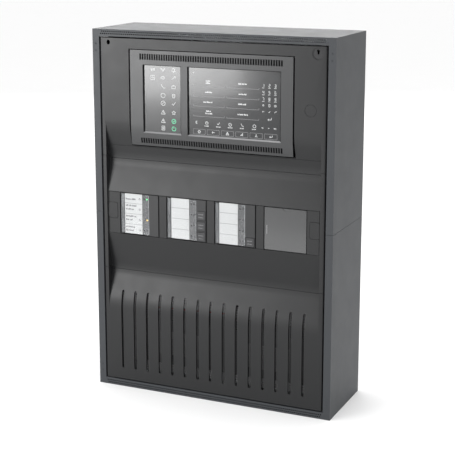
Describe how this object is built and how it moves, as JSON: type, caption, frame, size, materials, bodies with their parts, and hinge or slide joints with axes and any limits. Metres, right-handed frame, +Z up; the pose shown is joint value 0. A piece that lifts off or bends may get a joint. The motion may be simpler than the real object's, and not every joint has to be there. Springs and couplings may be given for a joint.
{
  "type": "fire alarm control panel",
  "caption": "Wall-mounted fire alarm control panel: steel housing, hinged door with two sunken valleys, touch controller, plug-in detector-loop modules and vented lower cover.",
  "frame": {"origin": "centre of the four wall-screw holes in the back face", "axes": "+Z up, -Y out of the front of the panel, +X to the right as seen from the front"},
  "size_m": [0.44, 0.1503, 0.638],
  "materials": {
    "housing_paint": "fine textured powder coat",
    "tray_steel": "galvanised sheet",
    "door_plastic": "satin moulded",
    "bezel_plastic": "satin moulded",
    "black_plastic": "fine grain",
    "module_plastic": "satin moulded",
    "key_plastic": "satin",
    "screen": "glossy display window",
    "indicator": "glossy dark window",
    "clear_cover": "clear polycarbonate",
    "label": "printed card",
    "lamp": "clear lens",
    "blank": "polished",
    "steel": "zinc plated",
    "lock_metal": "dark nickel",
    "mesh": "woven wire",
    "board": "solder mask",
    "battery": "moulded case",
    "terminal": "moulded",
    "supply_metal": "perforated case",
    "grommet": "soft membrane",
    "brass": "plain",
    "lead": "insulated wire",
    "ribbon": "flat cable"
  },
  "bodies": {
    "housing": {"back_tray": "tray_steel", "battery_1": "battery", "battery_2": "battery", "battery_leads": "lead", "battery_shelf": "tray_steel", "bottom_sheet": "housing_paint", "bus_board": "board", "cable_grommets": "grommet", "controller_bezel": "bezel_plastic", "controller_board": "board", "controller_case": "black_plastic", "earth_stud": "brass", "field_terminals": "terminal", "hinge_brackets": "steel", "hinge_pins": "steel", "indicator_panel": "indicator", "label_cards": "label", "left_sheet_lower": "housing_paint", "left_sheet_upper": "housing_paint", "mains_terminal": "black_plastic", "module_board_1": "board", "module_board_2": "board", "module_board_3": "board", "module_case_1": "module_plastic", "module_case_2": "module_plastic", "module_case_3": "module_plastic", "module_lamps": "lamp", "mounting_rails": "tray_steel", "power_supply": "supply_metal", "power_supply_terminals": "terminal", "ribbon_cable": "ribbon", "right_sheet_lower": "housing_paint", "right_sheet_upper": "housing_paint", "sheet_rivets": "steel", "strike_plate": "steel", "top_sheet": "housing_paint", "touch_display": "screen", "uprights": "tray_steel"},
    "door": {"top_cover": "door_plastic", "middle_cover": "door_plastic", "bottom_cover": "door_plastic", "window_mullions": "door_plastic", "band_ends": "door_plastic", "vent_mesh": "mesh", "door_frame": "steel", "blanking_plug": "door_plastic", "blank_cover": "blank", "hinge_blocks": "brass", "lock_body": "lock_metal"},
    "lock_key": {"lock_barrel": "lock_metal", "lock_cam": "steel"},
    "latch_left": {"release_tab_left": "door_plastic"},
    "latch_right": {"release_tab_right": "door_plastic"},
    "flap_1": {"label_cover_1": "clear_cover"},
    "flap_2": {"label_cover_2": "clear_cover"},
    "flap_3": {"label_cover_3": "clear_cover"},
    "key_2_2": {"module_key_2_2": "key_plastic"},
    "key_2_3": {"module_key_2_3": "key_plastic"},
    "key_2_4": {"module_key_2_4": "key_plastic"},
    "key_3_4": {"module_key_3_4": "key_plastic"}
  },
  "joints": [
    {"name": "door_hinge", "type": "hinge", "parent": "housing", "child": "door", "pos_m": [-0.2013, -0.1449, 0], "axis": [0, 0, -1], "range_deg": [0, 95]},
    {"name": "lock_turn", "type": "hinge", "parent": "door", "child": "lock_key", "pos_m": [0.19, -0.14, 0.293], "axis": [0, -1, 0], "range_deg": [0, 90]},
    {"name": "latch_left_push", "type": "slide", "parent": "door", "child": "latch_left", "axis": [0, 1, 0], "range_m": [0, 0.002], "stiffness_N_per_m": 400},
    {"name": "latch_right_push", "type": "slide", "parent": "door", "child": "latch_right", "axis": [0, 1, 0], "range_m": [0, 0.002], "stiffness_N_per_m": 400},
    {"name": "flap_1_hinge", "type": "hinge", "parent": "housing", "child": "flap_1", "pos_m": [-0.17085, -0.1461, 0], "axis": [0, 0, -1], "range_deg": [0, 110]},
    {"name": "flap_2_hinge", "type": "hinge", "parent": "housing", "child": "flap_2", "pos_m": [-0.08045, -0.1461, 0], "axis": [0, 0, -1], "range_deg": [0, 110]},
    {"name": "flap_3_hinge", "type": "hinge", "parent": "housing", "child": "flap_3", "pos_m": [0.00995, -0.1461, 0], "axis": [0, 0, -1], "range_deg": [0, 110]},
    {"name": "key_2_2_press", "type": "slide", "parent": "housing", "child": "key_2_2", "axis": [0, 1, 0], "range_m": [0, 0.0015], "stiffness_N_per_m": 300},
    {"name": "key_2_3_press", "type": "slide", "parent": "housing", "child": "key_2_3", "axis": [0, 1, 0], "range_m": [0, 0.0015], "stiffness_N_per_m": 300},
    {"name": "key_2_4_press", "type": "slide", "parent": "housing", "child": "key_2_4", "axis": [0, 1, 0], "range_m": [0, 0.0015], "stiffness_N_per_m": 300},
    {"name": "key_3_4_press", "type": "slide", "parent": "housing", "child": "key_3_4", "axis": [0, 1, 0], "range_m": [0, 0.0015], "stiffness_N_per_m": 300}
  ]
}
